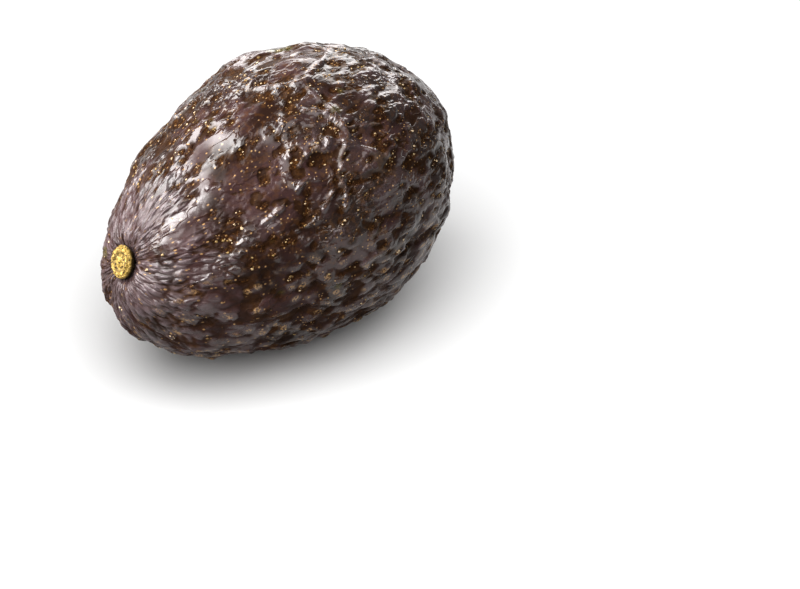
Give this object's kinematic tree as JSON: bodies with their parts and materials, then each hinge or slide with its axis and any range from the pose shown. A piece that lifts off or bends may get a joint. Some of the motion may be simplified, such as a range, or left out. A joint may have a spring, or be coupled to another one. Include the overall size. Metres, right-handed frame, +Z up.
{
  "type": "avocado",
  "caption": "Whole ripe avocado lying on its side: pear-shaped body with dark pebbled skin and a corky stem button in the neck.",
  "frame": {"origin": "on the surface that the fruit lies on, under the middle of its outline", "axes": "+X along the fruit from the neck towards the blossom end, +Z up"},
  "size_m": [0.1004, 0.0702, 0.0669],
  "materials": {
    "skin": "pebbled purple-black rind with a waxy gloss",
    "cork": "dry corky stem scar"
  },
  "bodies": {
    "root": {"fruit": "skin", "stem_button": "cork"}
  },
  "joints": []
}
